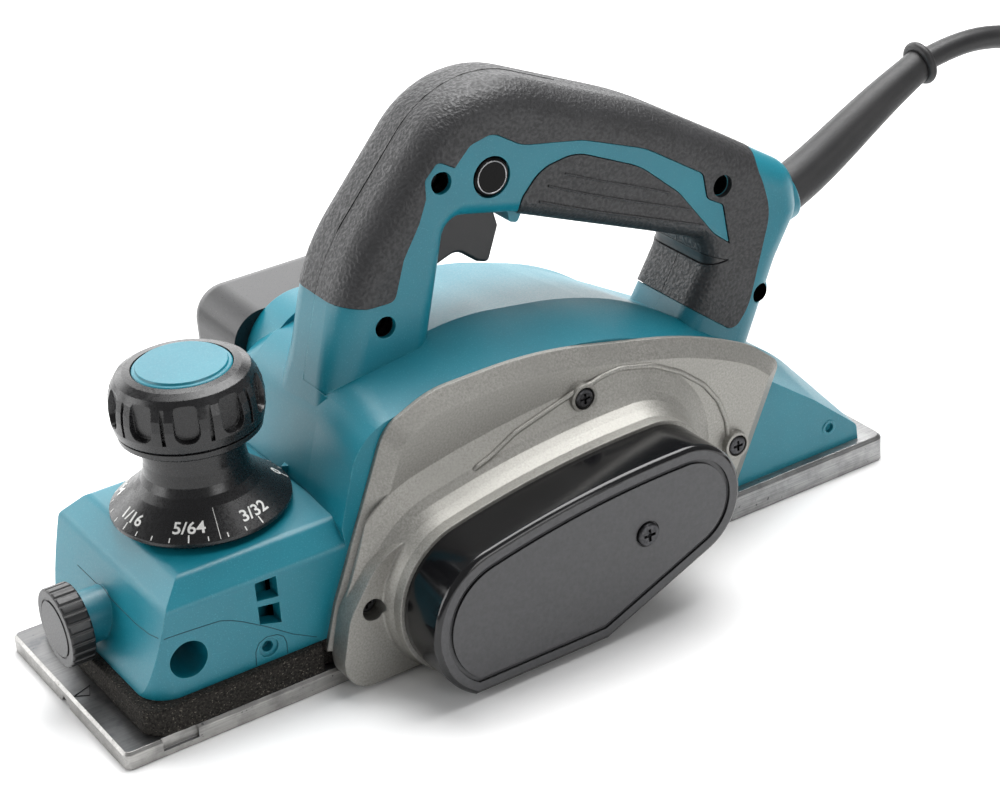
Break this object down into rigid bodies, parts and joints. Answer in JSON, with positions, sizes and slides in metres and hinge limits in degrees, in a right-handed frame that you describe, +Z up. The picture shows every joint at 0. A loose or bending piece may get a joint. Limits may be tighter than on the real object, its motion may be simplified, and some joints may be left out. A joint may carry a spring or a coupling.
{
  "type": "electric hand planer",
  "caption": "Hand-held electric planer with a closed grip over a belt-driven cutter drum, a front shoe set by a depth dial, a chip hood at one side, and a coiled mains cord",
  "frame": {"origin": "On the sole plane below the cutter drum axis, at mid-width of the sole", "axes": "+X points to the rear of the planer, +Y to the chip outlet side, +Z up away from the sole"},
  "size_m": [0.4868, 0.2533, 0.1607],
  "materials": {
    "teal_plastic": "satin moulded",
    "grip_rubber": "pebbled",
    "cast_aluminium": "fine cast grain",
    "machined_aluminium": "brushed",
    "cover_plastic": "gloss",
    "hood_plastic": "satin",
    "black_plastic": "satin",
    "knob_plastic": "satin",
    "zinc_steel": "zinc plated",
    "ground_steel": "ground",
    "lamination_steel": "laminated",
    "copper_winding": "enamelled",
    "brass": "turned",
    "carbon": "matte",
    "belt_rubber": "matte",
    "foam": "open cell",
    "cord_rubber": "matte",
    "knife_steel": "ground",
    "fan_plastic": "plain"
  },
  "bodies": {
    "body": {"main_housing": "teal_plastic", "guide_nose": "teal_plastic", "front_block": "teal_plastic", "handle_housing": "teal_plastic", "handle_cover": "teal_plastic", "handle_grip_left": "grip_rubber", "handle_grip_right": "grip_rubber", "belt_bracket": "cast_aluminium", "belt_cover": "cover_plastic", "handle_screws": "zinc_steel", "bracket_screws": "zinc_steel", "belt_cover_screw": "zinc_steel", "base_screws": "zinc_steel", "rear_base": "machined_aluminium", "foam_seal": "foam", "shoe_springs": "ground_steel", "trigger_pin": "ground_steel", "switch_body": "black_plastic", "stator_core": "lamination_steel", "field_coils": "copper_winding", "carbon_brushes": "carbon", "brush_holders": "brass", "fan_baffle": "black_plastic", "motor_bearings": "ground_steel", "drum_bearings": "ground_steel", "drive_belt": "belt_rubber", "chip_hood": "hood_plastic", "cord_guard": "cord_rubber", "cord": "cord_rubber", "cord_coil": "cord_rubber", "plug_body": "cord_rubber", "plug_pins": "brass"},
    "shoe": {"front_shoe": "machined_aluminium", "depth_stud": "ground_steel", "shoe_guide_pins": "ground_steel"},
    "knob": {"depth_dial": "knob_plastic", "depth_knob_grip": "knob_plastic", "depth_knob_cap": "teal_plastic", "depth_nut": "brass"},
    "clamp_tip": {"clamp_pad": "brass"},
    "clamp_handle": {"clamp_screw": "zinc_steel", "clamp_knob": "black_plastic"},
    "trigger": {"trigger": "black_plastic"},
    "lock": {"lock_button": "black_plastic"},
    "motor": {"armature_shaft": "ground_steel", "armature_core": "lamination_steel", "armature_windings": "copper_winding", "commutator": "brass", "fan": "fan_plastic", "drive_pulley": "ground_steel", "pulley_nut": "zinc_steel"},
    "drum": {"cutter_drum": "machined_aluminium", "drum_shaft": "ground_steel", "drum_knives": "knife_steel", "knife_clamps": "zinc_steel", "clamp_bolts": "zinc_steel", "driven_pulley": "cast_aluminium", "driven_pulley_nut": "zinc_steel"}
  },
  "joints": [
    {"name": "depth_knob_turn", "type": "hinge", "parent": "body", "child": "knob", "pos_m": [-0.058, 0, 0.07], "axis": [0, 0, -1], "range_deg": [0, 300]},
    {"name": "front_shoe_lift", "type": "slide", "parent": "body", "child": "shoe", "axis": [0, 0, 1], "range_m": [0, 0.0025], "deforming": ["foam_seal", "shoe_springs"]},
    {"name": "clamp_pad_slide", "type": "slide", "parent": "body", "child": "clamp_tip", "axis": [-1, 0, 0], "range_m": [0, 0.003]},
    {"name": "clamp_knob_turn", "type": "hinge", "parent": "clamp_tip", "child": "clamp_handle", "pos_m": [-0.105, 0.002, 0.0266], "axis": [-1, 0, 0], "range_deg": [0, 1080]},
    {"name": "trigger_pull", "type": "hinge", "parent": "body", "child": "trigger", "pos_m": [0.019, 0, 0.119], "axis": [0, -1, 0], "range_deg": [0, 12], "stiffness_Nm_per_rad": 0.15, "springref_deg": -20.05},
    {"name": "lock_button_push", "type": "slide", "parent": "body", "child": "lock", "axis": [0, 1, 0], "range_m": [0, 0.003], "stiffness_N_per_m": 400, "springref_m": -0.003},
    {"name": "drum_spin", "type": "hinge", "parent": "body", "child": "drum", "pos_m": [0, 0, 0.025], "axis": [0, 1, 0], "continuous": true},
    {"name": "motor_spin", "type": "hinge", "parent": "body", "child": "motor", "pos_m": [0.067, 0, 0.0365], "axis": [0, 1, 0], "continuous": true}
  ],
  "couplings": [
    {"joint": "depth_knob_turn", "follows": "front_shoe_lift", "rad_per_m": 2094.4},
    {"joint": "clamp_knob_turn", "follows": "clamp_pad_slide", "rad_per_m": 6283.2},
    {"joint": "motor_spin", "follows": "drum_spin", "ratio": 1.75}
  ]
}
